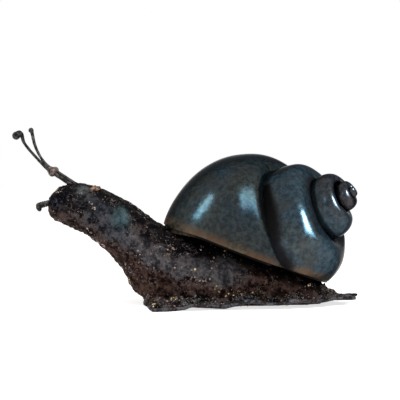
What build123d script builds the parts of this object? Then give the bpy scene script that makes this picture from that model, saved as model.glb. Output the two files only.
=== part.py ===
from build123d import *
from math import atan2, cos, degrees, hypot, pi, radians, sin, sqrt, tan
import os

# A table-top snail of welded steel with a cast bronze shell, in millimetres.
# The sole rests on z = 0, the head points to -X, the tail to +X and the left side to -Y.

# Sole plate: its front, the half outline from corner to tail, and the rippled flange
SOLE_SHEET = 2.0
SOLE_FRONT_X = -81.0
SOLE_CORNER = (-71.0, 39.0)
SOLE_EDGE = [(-62.0, 38.0), (-48.0, 36.0), (-20.0, 32.0), (10.0, 29.5), (38.0, 23.0), (58.0, 12.0)]
TAIL_LEFT_TIP = (72.5, -4.5)
TAIL_RIGHT_TIP = (76.5, 4.0)
TAIL_NOTCH_X = 68.0
TAIL_LIFT = 3.0
FLAT_SPARE = 1.0
FLAT_SHARE = 0.95
FLANGE_SPARE = 3.0
FLANGE_RISE = 4.5
RIPPLE_PITCH = 42.0
RIPPLE_PEAK_X = -4.0
RIPPLE_LIFT = 6.0
RIPPLE_START = 0.2
RIPPLE_LAG = 115.0
FACING_CUT = 0.5

# Body: sheet thickness, weld run and the sections from mouth to tail
SKIN = 2.0
WELD_LEG = 2.0
# Head and neck sections: top x, top z, bottom x, bottom z, half width
HEAD_SECTIONS = [
    (-148.4, 75.5, -148.6, 69.5, 3.2),
    (-147.2, 79.6, -147.7, 65.8, 7.4),
    (-143.8, 83.6, -144.8, 62.2, 11.0),
    (-138.0, 87.0, -139.5, 59.4, 13.8),
    (-129.5, 88.6, -131.0, 56.0, 15.6),
]
NECK_SECTIONS = [
    (-115.0, 86.4, -121.0, 50.5, 17.0),
    (-101.5, 81.3, -110.5, 43.0, 18.5),
    (-88.5, 73.6, -100.5, 33.0, 20.5),
    (-76.0, 65.0, -92.0, 21.0, 22.5),
]
# Chest section: top x, bottom x, bottom z, half width
CHEST_SECTION = (-63.0, -85.5, 9.0, 24.5)
# Trunk sections: top x, bottom x, half width
TRUNK_SECTIONS = [
    (-42.0, -60.0, 26.0),
    (-18.0, -25.0, 26.0),
    (8.0, 6.0, 24.0),
    (32.0, 33.0, 19.0),
    (49.0, 55.0, 11.5),
]
TRUNK_CROWN = -1.2
TRUNK_SINK = 7.0
NECK_FULLNESS = 0.58
TRUNK_FULLNESS = 0.70

# Eye stalks, feelers and their beads
STALK_ROD = 2.5
STALK_GAP = 0.2
STALK_ROOT = (-125.5, 83.0)
STALK_LUMP = (-145.1, 96.3)
LEFT_STALK_TIP = (-164.6, -16.0, 120.8)
RIGHT_STALK_TIP = (-163.2, 16.0, 125.6)
LEFT_EYE = 6.0
LEFT_EYE_SHIFT = (-1.7, 0.6)
RIGHT_EYE = 4.4
RIGHT_EYE_SHIFT = (0.0, 0.0)
SOCKET_CLEARANCE = 0.1
LUMP_SIZE = 8.0
FEELER_ROD = 3.2
FEELER_OUT = 6.0
FEELER_IN = 6.0
FEELER_SPREAD = 4.5
FEELER_HEIGHT = 73.6
FEELER_YAW = 14.0
FEELER_DROOP = 12.0
FEELER_TIP = 4.8

# Shell: a left-hand spiral round a raised axis, cut off flat along its rim
APEX = (76.3, -15.6, 89.4)
SPIRE_YAW = 28.2
SPIRE_PITCH = 30.9
GROWTH = 1.94
COIL_RADIUS = 66.4
COIL_DROP = 139.5
WHORL_HALF_WIDTH = 39.0
WHORL_HALF_HEIGHT = 56.9
SIDE_SQUEEZE = 0.86
MOUTH_AZIMUTH = 225.7
SKIRT_ANGLE = 45.6
SKIRT_SPARE = 6.0
SEAM_AZIMUTH = -180.0
SPIRE_TURNS = 3.6
SECTIONS_PER_TURN = 14
SHELL_WALL = 2.6
THIN_WALL_SHARE = 0.45
RIM_HEIGHT = 36.8
RIM_SLOPE = 20.4
FLOOR_SHEET = 1.6
FLOOR_INSET = 1.4
FLOOR_POINTS = 24
KNOB_SHARE = 0.9
BULB_SWELL = 0.2

# Fixings between the shell and the trunk
SADDLE_SHEET = 2.0
STUD_ROD = 6.0
STUD_PLACES = [(-30.0, 0.0), (14.0, 0.0)]
STUD_CLEARANCE = 0.3
STUD_SPARE = 3.0
WASHER_WIDTH = 12.0
WASHER_SHEET = 1.6
NUT_FLATS = 10.0
NUT_HEIGHT = 5.0
THREAD_CLEARANCE = 0.05

os.makedirs("parts", exist_ok=True)


def finish(builder, label):
    builder.part.label = label
    export_step(builder.part, f"parts/{label}.step")


# Seat of the shell: parallel planes that fall towards the tail
slope = radians(RIM_SLOPE)
rim_plane = Plane(
    origin=(0, 0, RIM_HEIGHT),
    x_dir=(cos(slope), 0, -sin(slope)),
    z_dir=(sin(slope), 0, cos(slope)),
)
floor_under = rim_plane.offset(-FLOOR_SHEET)
saddle_under = floor_under.offset(-SADDLE_SHEET)
sole_top = Plane.XY.offset(SOLE_SHEET)


def plane_height(plane, x):
    return plane.origin.Z - (x - plane.origin.X) * tan(slope)


# Body sections as top x, top z, bottom x, bottom z, half width
chest_x, chest_bottom_x, chest_bottom_z, chest_half_width = CHEST_SECTION
chest = (chest_x, plane_height(floor_under, chest_x), chest_bottom_x, chest_bottom_z, chest_half_width)
trunk = [
    (top_x, plane_height(rim_plane, top_x) + TRUNK_CROWN, bottom_x, -TRUNK_SINK, half_width)
    for top_x, bottom_x, half_width in TRUNK_SECTIONS
]
body_stations = HEAD_SECTIONS + NECK_SECTIONS + [chest] + trunk


def station_plane(station, shift=0.0):
    """Plane of a body section, facing the tail, with its x axis across the body."""
    top_x, top_z, bottom_x, bottom_z, _ = station
    middle = ((top_x + bottom_x) / 2 + shift, 0, (top_z + bottom_z) / 2)
    rise = Vector(top_x - bottom_x, 0, top_z - bottom_z).normalized()
    return Plane(origin=middle, x_dir=(0, 1, 0), z_dir=Vector(0, 1, 0).cross(rise))


def body_sections(stations, grow=0.0):
    """Body sections, grown outwards, and further out at the tail, by the same amount."""
    sections = []
    for station in stations:
        shift = grow if station is body_stations[-1] else 0.0
        fullness = TRUNK_FULLNESS if station in trunk else NECK_FULLNESS
        wide = station[4] + grow
        high = hypot(station[0] - station[2], station[1] - station[3]) / 2 + grow
        quarters = [(wide, 0), (0, high), (-wide, 0), (0, -high), (wide, 0)]
        with BuildSketch(station_plane(station, shift)) as section:
            with BuildLine():
                for (x0, y0), (x1, y1) in zip(quarters, quarters[1:]):
                    leave = (x0 + fullness * x1, y0 + fullness * y1)
                    arrive = (x1 + fullness * x0, y1 + fullness * y0)
                    Bezier((x0, y0), leave, arrive, (x1, y1))
            make_face()
        sections.append(section.sketch)
    return sections


# Outer forms of the head and of neck and trunk in one, and the hollow inside their sheet
with BuildPart() as head_form:
    loft(body_sections(HEAD_SECTIONS + NECK_SECTIONS[:2]))

hollow_stations = HEAD_SECTIONS[-1:] + NECK_SECTIONS + [chest] + trunk
with BuildPart() as body_form:
    loft(body_sections(hollow_stations))

with BuildPart() as body_hollow:
    loft(body_sections(hollow_stations, -SKIN))

head_joint = station_plane(NECK_SECTIONS[0])
neck_joint = station_plane(chest)

# Sole plate: a rippled sheet, faced flat underneath and trimmed to its outline
tail_end = max(TAIL_LEFT_TIP[0], TAIL_RIGHT_TIP[0])
tail_start = TRUNK_SECTIONS[-1][1] + WELD_LEG
ripple_step = RIPPLE_PITCH / 6
ripple_count = int((tail_end - SOLE_FRONT_X) / ripple_step) + 3
trunk_half_widths = [(bottom_x, half_width) for _, bottom_x, half_width in TRUNK_SECTIONS]
sole_half_widths = [SOLE_CORNER, *SOLE_EDGE, TAIL_RIGHT_TIP]


def half_width_at(places, x):
    """Half width at a place, straight between the places given and even beyond them."""
    for (x0, width0), (x1, width1) in zip(places, places[1:]):
        if x < x1:
            return width0 + (width1 - width0) * max(0.0, x - x0) / (x1 - x0)
    return places[-1][1]


def flange_height(x, lag):
    """Height of the flange's edge over the flat: it rises and ripples more towards the tail."""
    share = max(0.0, x - SOLE_CORNER[0]) / (tail_end - SOLE_CORNER[0])
    turn = 2 * pi * (x - RIPPLE_PEAK_X) / RIPPLE_PITCH + radians(lag)
    return FLANGE_RISE * share + RIPPLE_LIFT * (share + RIPPLE_START) * (1 + cos(turn)) / 2


with BuildPart() as sole_plate:
    for index in range(ripple_count):
        x = SOLE_FRONT_X + (index - 0.5) * ripple_step
        tail_share = max(0.0, x - tail_start) / (tail_end - tail_start)
        under = (TAIL_LIFT + FACING_CUT) * tail_share**2 - FACING_CUT
        over = under + FACING_CUT + SOLE_SHEET
        sole_half = half_width_at(sole_half_widths, x)
        flat_half = min(half_width_at(trunk_half_widths, x) + FLAT_SPARE, FLAT_SHARE * sole_half)
        flange_edge = sole_half + FLANGE_SPARE
        flange_bend = flat_half + (flange_edge - flat_half) / 3
        left = flange_height(x, 0.0)
        right = flange_height(x, RIPPLE_LAG)
        with BuildSketch(Plane(origin=(x, 0, 0), x_dir=(0, 1, 0), z_dir=(1, 0, 0))):
            with BuildLine():
                Bezier((-flange_edge, under + left), (-flange_bend, under), (-flat_half, under))
                Line((-flat_half, under), (flat_half, under))
                Bezier((flat_half, under), (flange_bend, under), (flange_edge, under + right))
                Line((flange_edge, under + right), (flange_edge, over + right))
                Bezier((flange_edge, over + right), (flange_bend, over), (flat_half, over))
                Line((flat_half, over), (-flat_half, over))
                Bezier((-flat_half, over), (-flange_bend, over), (-flange_edge, over + left))
                Line((-flange_edge, over + left), (-flange_edge, under + left))
            make_face()
    loft()
    split(bisect_by=Plane.XY, keep=Keep.TOP)
    with BuildSketch():
        with BuildLine():
            corner_x, corner_y = SOLE_CORNER
            Spline((corner_x, -corner_y), (SOLE_FRONT_X, 0), (corner_x, corner_y))
            Spline((corner_x, corner_y), *SOLE_EDGE, TAIL_RIGHT_TIP)
            Line(TAIL_RIGHT_TIP, (TAIL_NOTCH_X, 0))
            Line((TAIL_NOTCH_X, 0), TAIL_LEFT_TIP)
            Spline(TAIL_LEFT_TIP, *[(x, -y) for x, y in reversed(SOLE_EDGE)], (corner_x, -corner_y))
        make_face()
    extrude(amount=FLANGE_RISE + 2 * RIPPLE_LIFT + TAIL_LIFT + SOLE_SHEET, mode=Mode.INTERSECT)
finish(sole_plate, "sole_plate")

# Weld run round the foot of the trunk
with BuildPart() as sole_weld:
    loft(body_sections(hollow_stations, WELD_LEG))
    split(bisect_by=sole_top, keep=Keep.TOP)
    split(bisect_by=sole_top.offset(WELD_LEG), keep=Keep.BOTTOM)
    add(body_form.part, mode=Mode.SUBTRACT)
finish(sole_weld, "sole_weld")

# Trunk: bent sheet, open below on the sole and above under the saddle plate
with BuildPart() as trunk_skin:
    add(body_form.part)
    split(bisect_by=neck_joint, keep=Keep.TOP)
    split(bisect_by=sole_top, keep=Keep.TOP)
    split(bisect_by=saddle_under, keep=Keep.BOTTOM)
    add(body_hollow.part, mode=Mode.SUBTRACT)
finish(trunk_skin, "trunk_skin")

# Saddle plate: closes the trunk and carries the shell
with BuildPart() as saddle_plate:
    add(body_form.part)
    split(bisect_by=neck_joint, keep=Keep.TOP)
    split(bisect_by=floor_under, keep=Keep.BOTTOM)
    split(bisect_by=saddle_under, keep=Keep.TOP)
    with BuildSketch(floor_under):
        with Locations(*STUD_PLACES):
            Circle(STUD_ROD / 2 + STUD_CLEARANCE)
    extrude(amount=-2 * SADDLE_SHEET, mode=Mode.SUBTRACT)
finish(saddle_plate, "saddle_plate")

# Neck: bent sheet tube between the head and the chest
with BuildPart() as neck_tube:
    add(body_form.part)
    split(bisect_by=neck_joint, keep=Keep.BOTTOM)
    split(bisect_by=head_joint, keep=Keep.TOP)
    add(body_hollow.part, mode=Mode.SUBTRACT)
finish(neck_tube, "neck_tube")


# Eye stalks: two rods side by side out of the head, parting above the weld lump
def eye_stalk(side, tip):
    beside = side * (STALK_ROD + STALK_GAP) / 2
    with BuildPart() as rod:
        with BuildLine():
            run = Line((STALK_ROOT[0], beside, STALK_ROOT[1]), (STALK_LUMP[0], beside, STALK_LUMP[1]))
            TangentArc(run @ 1, tip, tangent=run % 1)
        with BuildSketch(Plane(origin=run @ 0, z_dir=run % 0)):
            Circle(STALK_ROD / 2)
        sweep()
    return rod


left_stalk = eye_stalk(-1, LEFT_STALK_TIP)
finish(left_stalk, "left_stalk")
right_stalk = eye_stalk(1, RIGHT_STALK_TIP)
finish(right_stalk, "right_stalk")


# Eye beads, melted on to the ends of the stalks, their seams turned away from the sockets
def eye_bead(stalk, tip, size, shift):
    stalk_end = stalk.faces().sort_by_distance(tip)[0]
    with BuildPart() as bead:
        with Locations((tip[0] + shift[0], tip[1], tip[2] + shift[1])):
            Sphere(size / 2, rotation=(0, 0, 180))
        with BuildSketch(Plane(origin=tip, z_dir=-stalk_end.normal_at(tip))):
            Circle(STALK_ROD / 2 + SOCKET_CLEARANCE)
        extrude(amount=size, mode=Mode.SUBTRACT)
    return bead


left_eye = eye_bead(left_stalk, LEFT_STALK_TIP, LEFT_EYE, LEFT_EYE_SHIFT)
finish(left_eye, "left_eye")
right_eye = eye_bead(right_stalk, RIGHT_STALK_TIP, RIGHT_EYE, RIGHT_EYE_SHIFT)
finish(right_eye, "right_eye")

# Weld lump that ties the stalks together
with BuildPart() as stalk_weld:
    with Locations((STALK_LUMP[0], 0, STALK_LUMP[1])):
        Sphere(LUMP_SIZE / 2)
    add(left_stalk.part, mode=Mode.SUBTRACT)
    add(right_stalk.part, mode=Mode.SUBTRACT)
finish(stalk_weld, "stalk_weld")


# Feelers: short rods let into the front of the head, each with a melted tip
def feeler_direction(side):
    yaw = radians(FEELER_YAW)
    droop = radians(FEELER_DROOP)
    return Vector(-cos(yaw) * cos(droop), side * sin(yaw) * cos(droop), -sin(droop))


feeler_front_x = HEAD_SECTIONS[0][0]


def feeler(side):
    along = feeler_direction(side)
    start = Vector(feeler_front_x, side * FEELER_SPREAD, FEELER_HEIGHT) - along * FEELER_IN
    with BuildPart() as rod:
        with BuildSketch(Plane(origin=start, z_dir=along)):
            Circle(FEELER_ROD / 2)
        extrude(amount=FEELER_IN + FEELER_OUT)
    return rod


def feeler_tip(side, rod):
    place = Vector(feeler_front_x, side * FEELER_SPREAD, FEELER_HEIGHT) + feeler_direction(side) * FEELER_OUT
    with BuildPart() as tip:
        with Locations(place):
            Sphere(FEELER_TIP / 2)
        add(rod.part, mode=Mode.SUBTRACT)
    return tip


left_feeler = feeler(-1)
finish(left_feeler, "left_feeler")
right_feeler = feeler(1)
finish(right_feeler, "right_feeler")
left_feeler_tip = feeler_tip(-1, left_feeler)
finish(left_feeler_tip, "left_feeler_tip")
right_feeler_tip = feeler_tip(1, right_feeler)
finish(right_feeler_tip, "right_feeler_tip")

# Head: a solid end cap with sockets for the stalks and the feelers
with BuildPart() as head_cap:
    add(head_form.part)
    split(bisect_by=head_joint, keep=Keep.BOTTOM)
    for rod in (left_stalk, right_stalk, left_feeler, right_feeler):
        add(rod.part, mode=Mode.SUBTRACT)
finish(head_cap, "head_cap")

# Shell axis: from the mouth towards the apex, with its own up and left directions
yaw = radians(SPIRE_YAW)
pitch = radians(SPIRE_PITCH)
apex = Vector(*APEX)
axis = Vector(cos(yaw) * cos(pitch), -sin(yaw) * cos(pitch), sin(pitch))
spire_up = (Vector(0, 0, 1) - axis * axis.Z).normalized()
spire_left = axis.cross(spire_up)


def whorl_frame(turn):
    """Scale, side squeeze and radial direction of the spiral at a turn, 0 at the mouth."""
    azimuth = radians(MOUTH_AZIMUTH + 360 * turn)
    squeeze = 1 / sqrt(cos(azimuth) ** 2 + (sin(azimuth) / SIDE_SQUEEZE) ** 2)
    return GROWTH**turn, squeeze, spire_up * cos(azimuth) + spire_left * sin(azimuth)


def whorl_point(turn, angle, run=0.0):
    """Place on the outer wall: an ellipse angle, then a straight run along its tangent."""
    scale, squeeze, radial = whorl_frame(turn)
    run_out, run_down = skirt_direction(angle)
    out = squeeze * (scale * (COIL_RADIUS + WHORL_HALF_WIDTH * cos(radians(angle))) + run * run_out)
    down = scale * (COIL_DROP + WHORL_HALF_HEIGHT * sin(radians(angle))) + run * run_down
    return apex - axis * down + radial * out


def skirt_direction(angle):
    out = -WHORL_HALF_WIDTH * sin(radians(angle))
    down = WHORL_HALF_HEIGHT * cos(radians(angle))
    return out / hypot(out, down), down / hypot(out, down)


def rim_height(point):
    return rim_plane.to_local_coords(point).Z


def root(function, low, high):
    """Bisect for the place between low and high where the function changes sign."""
    low_sign = function(low) > 0
    for _ in range(50):
        middle = (low + high) / 2
        if (function(middle) > 0) == low_sign:
            low = middle
        else:
            high = middle
    return (low + high) / 2


# Suture: the ellipse angles at which one whorl meets the whorl above it and below it
def outside_upper_whorl(angle):
    out = COIL_RADIUS + WHORL_HALF_WIDTH * cos(radians(angle))
    down = COIL_DROP + WHORL_HALF_HEIGHT * sin(radians(angle))
    across = (out * GROWTH - COIL_RADIUS) / WHORL_HALF_WIDTH
    along = (down * GROWTH - COIL_DROP) / WHORL_HALF_HEIGHT
    return hypot(across, along) - 1


towards_apex = degrees(atan2(-COIL_DROP / WHORL_HALF_HEIGHT, -COIL_RADIUS / WHORL_HALF_WIDTH))
upper_suture = root(outside_upper_whorl, towards_apex, -45)
suture_out = COIL_RADIUS + WHORL_HALF_WIDTH * cos(radians(upper_suture))
suture_down = COIL_DROP + WHORL_HALF_HEIGHT * sin(radians(upper_suture))
lower_suture = degrees(
    atan2(
        (suture_down * GROWTH - COIL_DROP) / WHORL_HALF_HEIGHT,
        (suture_out * GROWTH - COIL_RADIUS) / WHORL_HALF_WIDTH,
    )
)

# The body whorl ends where its suture runs down into the rim on the left side
seam_turn = (SEAM_AZIMUTH - MOUTH_AZIMUTH) / 360
rim_turn = root(lambda turn: rim_height(whorl_point(turn, upper_suture)), seam_turn + 0.75, seam_turn + 1)


def rim_run(turn):
    """Length of the straight skirt that takes a section of the body whorl past the rim."""
    start = rim_height(whorl_point(turn, SKIRT_ANGLE))
    fall = start - rim_height(whorl_point(turn, SKIRT_ANGLE, 1.0))
    return max(start / fall, 0) + SKIRT_SPARE


def whorl_section(turn, last_angle, skirt):
    """Wall of a whorl: outer arc, skirt, and the same again one wall inside."""
    scale, squeeze, radial = whorl_frame(turn)
    centre = (squeeze * scale * COIL_RADIUS, scale * COIL_DROP)
    half_width = squeeze * scale * WHORL_HALF_WIDTH
    half_height = scale * WHORL_HALF_HEIGHT
    wall = min(SHELL_WALL, THIN_WALL_SHARE * half_width)
    sweep_angle = last_angle - upper_suture
    run_out, run_down = skirt_direction(last_angle)
    fall = Vector(squeeze * run_out * skirt, run_down * skirt)
    with BuildSketch(Plane(origin=apex, x_dir=radial, z_dir=axis.cross(radial))) as section:
        with BuildLine():
            outer = EllipticalCenterArc(centre, half_width, half_height, upper_suture, arc_size=sweep_angle)
            inner = EllipticalCenterArc(
                centre, half_width - wall, half_height - wall, upper_suture, arc_size=sweep_angle
            )
            Line(outer @ 0, inner @ 0)
            if skirt:
                Polyline(outer @ 1, outer @ 1 + fall, inner @ 1 + fall, inner @ 1)
            else:
                Line(outer @ 1, inner @ 1)
        make_face()
    return section.sketch


def turns_between(first, last):
    count = max(2, round((last - first) * SECTIONS_PER_TURN))
    return [first + (last - first) * index / count for index in range(count + 1)]


# Body whorl: one turn down to the rim, its outer end hidden below the rim
with BuildPart() as body_whorl:
    body_turns = turns_between(seam_turn, rim_turn + 1 / SECTIONS_PER_TURN)
    loft([whorl_section(turn, SKIRT_ANGLE, rim_run(turn)) for turn in body_turns])
    split(bisect_by=rim_plane, keep=Keep.TOP)
finish(body_whorl, "body_whorl")

# Second, third and fourth whorls
with BuildPart() as second_whorl:
    loft([whorl_section(turn, lower_suture, 0) for turn in turns_between(seam_turn - 1, seam_turn)])
    split(bisect_by=rim_plane, keep=Keep.TOP)
finish(second_whorl, "second_whorl")

with BuildPart() as third_whorl:
    loft([whorl_section(turn, lower_suture, 0) for turn in turns_between(seam_turn - 2, seam_turn - 1)])
finish(third_whorl, "third_whorl")

with BuildPart() as fourth_whorl:
    loft([whorl_section(turn, lower_suture, 0) for turn in turns_between(-SPIRE_TURNS, seam_turn - 2)])
finish(fourth_whorl, "fourth_whorl")

# Knob that closes the apex: a dome on the axis and a bulb over the end of the spiral
knob_scale, knob_squeeze, knob_radial = whorl_frame(-SPIRE_TURNS)
knob_place = apex - axis * knob_scale * COIL_DROP
bulb_place = knob_place + knob_radial * knob_squeeze * knob_scale * COIL_RADIUS
with BuildPart() as apex_knob:
    with Locations(knob_place):
        Sphere(KNOB_SHARE * knob_scale * COIL_RADIUS)
    with Locations(bulb_place):
        Sphere(knob_scale * WHORL_HALF_HEIGHT + BULB_SWELL)
    add(fourth_whorl.part, mode=Mode.SUBTRACT)
    add(third_whorl.part, mode=Mode.SUBTRACT)
finish(apex_knob, "apex_knob")


# Floor of the shell: a plate under the rim, a little inside its outline
def rim_place(turn):
    """Place where a section of the shell crosses the rim, in the rim's own plane."""
    if rim_height(whorl_point(turn, SKIRT_ANGLE)) > 0:
        run = root(lambda length: rim_height(whorl_point(turn, SKIRT_ANGLE, length)), 0, rim_run(turn))
        point = whorl_point(turn, SKIRT_ANGLE, run)
    else:
        angle = root(lambda side: rim_height(whorl_point(turn, side)), upper_suture, SKIRT_ANGLE)
        point = whorl_point(turn, angle)
    return rim_plane.to_local_coords(point)


rim_outline = [rim_place(rim_turn - 1 + index / FLOOR_POINTS) for index in range(FLOOR_POINTS)]
rim_middle = sum(rim_outline, Vector()) / FLOOR_POINTS
floor_outline = [place - (place - rim_middle).normalized() * FLOOR_INSET for place in rim_outline]

with BuildPart() as shell_floor:
    with BuildSketch(rim_plane):
        with BuildLine():
            Spline(*[(place.X, place.Y) for place in floor_outline], periodic=True)
        make_face()
        with Locations(*STUD_PLACES):
            Circle(STUD_ROD / 2, mode=Mode.SUBTRACT)
    extrude(amount=-FLOOR_SHEET)
finish(shell_floor, "shell_floor")

# Studs welded into the shell floor, with washers and nuts under the saddle plate
stud_length = FLOOR_SHEET + SADDLE_SHEET + WASHER_SHEET + NUT_HEIGHT + STUD_SPARE
with BuildPart() as shell_studs:
    with BuildSketch(rim_plane):
        with Locations(*STUD_PLACES):
            Circle(STUD_ROD / 2)
    extrude(amount=-stud_length)
finish(shell_studs, "shell_studs")

with BuildPart() as stud_washers:
    with BuildSketch(saddle_under):
        with Locations(*STUD_PLACES):
            Circle(WASHER_WIDTH / 2)
            Circle(STUD_ROD / 2 + STUD_CLEARANCE, mode=Mode.SUBTRACT)
    extrude(amount=-WASHER_SHEET)
finish(stud_washers, "stud_washers")

with BuildPart() as stud_nuts:
    with BuildSketch(saddle_under.offset(-WASHER_SHEET)):
        with Locations(*STUD_PLACES):
            RegularPolygon(NUT_FLATS / 2, 6, major_radius=False)
            Circle(STUD_ROD / 2 + THREAD_CLEARANCE, mode=Mode.SUBTRACT)
    extrude(amount=-NUT_HEIGHT)
finish(stud_nuts, "stud_nuts")
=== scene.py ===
import random
from math import cos, radians, sin, sqrt, tan

import bpy
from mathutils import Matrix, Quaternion, Vector, noise
from mathutils.kdtree import KDTree


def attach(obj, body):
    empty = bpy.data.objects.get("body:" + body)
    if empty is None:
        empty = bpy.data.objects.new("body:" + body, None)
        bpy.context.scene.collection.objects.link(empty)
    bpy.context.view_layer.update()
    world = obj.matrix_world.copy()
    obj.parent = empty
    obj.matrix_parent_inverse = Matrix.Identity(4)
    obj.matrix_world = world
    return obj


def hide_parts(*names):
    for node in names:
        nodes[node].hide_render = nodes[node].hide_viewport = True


# A welded steel snail with a polished bronze shell, in metres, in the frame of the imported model
UP = Vector((0, 0, 1))

# Camera: beside the snail's left flank, a little lower than the top of the shell, looking slightly down
CAMERA_PLACE = (-0.0384, -0.650, 0.0974)
CAMERA_AIM = (-0.0384, 0.0, 0.0754)
CAMERA_LENS = 80.7

# Body rings: top x, top z, bottom x, bottom z, half width
HEAD_RINGS = [
    (-0.1484, 0.0750, -0.1486, 0.0695, 0.0032),
    (-0.1472, 0.0787, -0.1477, 0.0655, 0.0074),
    (-0.1436, 0.0825, -0.1446, 0.0617, 0.0110),
    (-0.1380, 0.0862, -0.1395, 0.0588, 0.0138),
    (-0.1295, 0.0882, -0.1310, 0.0556, 0.0156),
]
NECK_RINGS = [
    (-0.1150, 0.0864, -0.1210, 0.0505, 0.0170),
    (-0.1015, 0.0813, -0.1105, 0.0430, 0.0185),
    (-0.0885, 0.0736, -0.1005, 0.0330, 0.0205),
    (-0.0760, 0.0641, -0.0920, 0.0210, 0.0225),
    (-0.0630, 0.0546, -0.0876, 0.0082, 0.0245),
]
TRUNK_RINGS = [
    (-0.0420, 0.0506, -0.0620, -0.0070, 0.0260),
    (-0.0180, 0.0417, -0.0250, -0.0070, 0.0260),
    (0.0080, 0.0320, 0.0060, -0.0070, 0.0240),
    (0.0320, 0.0231, 0.0330, -0.0070, 0.0190),
    (0.0490, 0.0168, 0.0550, -0.0070, 0.0115),
]
NECK_FULLNESS = 0.58
TRUNK_FULLNESS = 0.70
QUARTER_POINTS = 6
BODY_VOXEL = 0.0007
FOOT_CUT = 0.0015

# Slanting lines on the body: x and z of a place on the line, and its slope
THROAT_LINE = (-0.121, 0.050, -1.15)
BACK_LINE = (-0.063, 0.0585, -0.68)
NAPE_LINE = (-0.082, 0.0430, -0.86)
THROAT_END = -0.070
BACK_END = -0.060

# Sole: front edge, notch of the tail, and how far each prong of the fork reaches past the notch
SOLE_FRONT = -0.0772
SOLE_FRONT_BOW = 0.0060
SOLE_NOTCH = 0.0685
NEAR_PRONG = 0.0062
FAR_PRONG = 0.0085
PRONG_MIDDLE = 0.62
PRONG_SLANT = 0.0045
SOLE_SHEET = 0.0023
SOLE_VOXEL = 0.0006

# Sole: half width along it, and how far its near edge is lifted off the floor, the far edge out of step
SOLE_SIDE = [
    (-0.084, 0.0408), (-0.070, 0.0404), (-0.048, 0.0364), (-0.018, 0.0321), (0.006, 0.0301), (0.024, 0.0278),
    (0.036, 0.0248), (0.048, 0.0194), (0.060, 0.0123), (0.070, 0.0072), (0.078, 0.0058),
]
SOLE_LIFT = [
    (-0.084, 0.0), (-0.061, 0.0), (-0.050, 0.0004), (-0.044, 0.0024), (-0.035, 0.0014), (-0.022, 0.0006),
    (-0.013, 0.0024), (-0.004, 0.0050), (0.002, 0.0043), (0.010, 0.0025), (0.0175, 0.0023), (0.028, 0.0043),
    (0.045, 0.0034), (0.060, 0.0040), (0.078, 0.0038),
]
FAR_EDGE_SHIFT = 0.019
TAIL_CROWN = 0.0030
EDGE_CURL = 0.0006
FAR_PRONG_LIFT = 0.0016

# Eye stalks: x, y, z and radius at points along each bent rod
LEFT_STALK = [
    (-0.1240, -0.0010, 0.0815, 0.00160), (-0.1310, -0.0012, 0.0859, 0.00155),
    (-0.1378, -0.0014, 0.0907, 0.00145), (-0.1448, -0.0018, 0.0952, 0.00140),
    (-0.1486, -0.0032, 0.0978, 0.00120), (-0.1552, -0.0070, 0.1055, 0.00108),
    (-0.1609, -0.0110, 0.1126, 0.00104), (-0.1635, -0.0135, 0.1170, 0.00110),
    (-0.1641, -0.0150, 0.1206, 0.00135), (-0.1646, -0.0157, 0.1228, 0.00165),
    (-0.1663, -0.0160, 0.1238, 0.00175), (-0.1680, -0.0160, 0.1226, 0.00160),
]
RIGHT_STALK = [
    (-0.1232, 0.0010, 0.0832, 0.00160), (-0.1299, 0.0012, 0.0874, 0.00155),
    (-0.1369, 0.0014, 0.0922, 0.00145), (-0.1440, 0.0018, 0.0968, 0.00140),
    (-0.1497, 0.0030, 0.1000, 0.00115), (-0.1550, 0.0062, 0.1064, 0.00100),
    (-0.1587, 0.0096, 0.1125, 0.00105), (-0.1611, 0.0126, 0.1182, 0.00120),
    (-0.1624, 0.0150, 0.1238, 0.00130), (-0.1635, 0.0159, 0.1262, 0.00135),
]

# Beads: x, y, z and radius of the drops that have run together
LEFT_EYE = [
    (-0.1681, -0.0160, 0.1214, 0.0030), (-0.1669, -0.0159, 0.1229, 0.0021),
    (-0.1657, -0.0158, 0.1231, 0.0017),
]
RIGHT_EYE = [(-0.1637, 0.0160, 0.1266, 0.0020), (-0.1632, 0.0158, 0.1257, 0.0016)]
STALK_LUMP = [
    (-0.1466, 0.0, 0.0970, 0.0029), (-0.1447, 0.0, 0.0960, 0.0034), (-0.1437, 0.0016, 0.0970, 0.0027),
    (-0.1453, -0.0018, 0.0950, 0.0028),
]
ROD_VOXEL = 0.0003

# Feelers: root and end of the right one, its ribs, and the drops of its end by x, z and radius from there
FEELER_ROOT = (-0.1415, 0.0030, 0.0750)
FEELER_END = (-0.1541, 0.0062, 0.0716)
FEELER_KNOTS = 33
RIB_RADII = (0.00240, 0.00240, 0.00200, 0.00200)
FEELER_DROPS = [(0.0, 0.0, 0.0023), (0.0, -0.0014, 0.0022), (0.0003, -0.0027, 0.0017)]
LEFT_DROOP = 1
RIGHT_DROOP = 0.15

# Foot weld: rows from the trunk out to the sole's edge, by share of the way, drop size, share of the height
WELD_ROWS = [(0.02, 0.0030, 1.0), (0.22, 0.0024, 0.72), (0.42, 0.0018, 0.42), (0.58, 0.0011, 0.22)]
WELD_START = -0.076
WELD_END = 0.060
WELD_STEP = 0.0020
WELD_TALL = 0.0066
WELD_FALL = 0.0014
WELD_JITTER = 0.0008
WELD_VOXEL = 0.0006

# Foot weld: rows across the front, by middle x, bow, half width, drop size, height and its fall to the sides
FRONT_ROWS = [
    (-0.0738, 0.0060, 0.033, 0.0028, 0.0040, 0.0012),
    (-0.0710, 0.0050, 0.030, 0.0032, 0.0060, 0.0018),
]

# Foot weld: wedge behind the trunk, by where it starts, and the sideways places of its rows
WEDGE_START = 0.044
WEDGE_STEPS = 25
WEDGE_ROWS = (-0.0055, -0.0018, 0.0018, 0.0055)

# Nape weld: where its run starts, and the step from drop to drop
NAPE_START = (-0.1192, -0.0105)
NAPE_STEP = (0.0006, 0.0005)
NAPE_DROPS = 14

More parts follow.
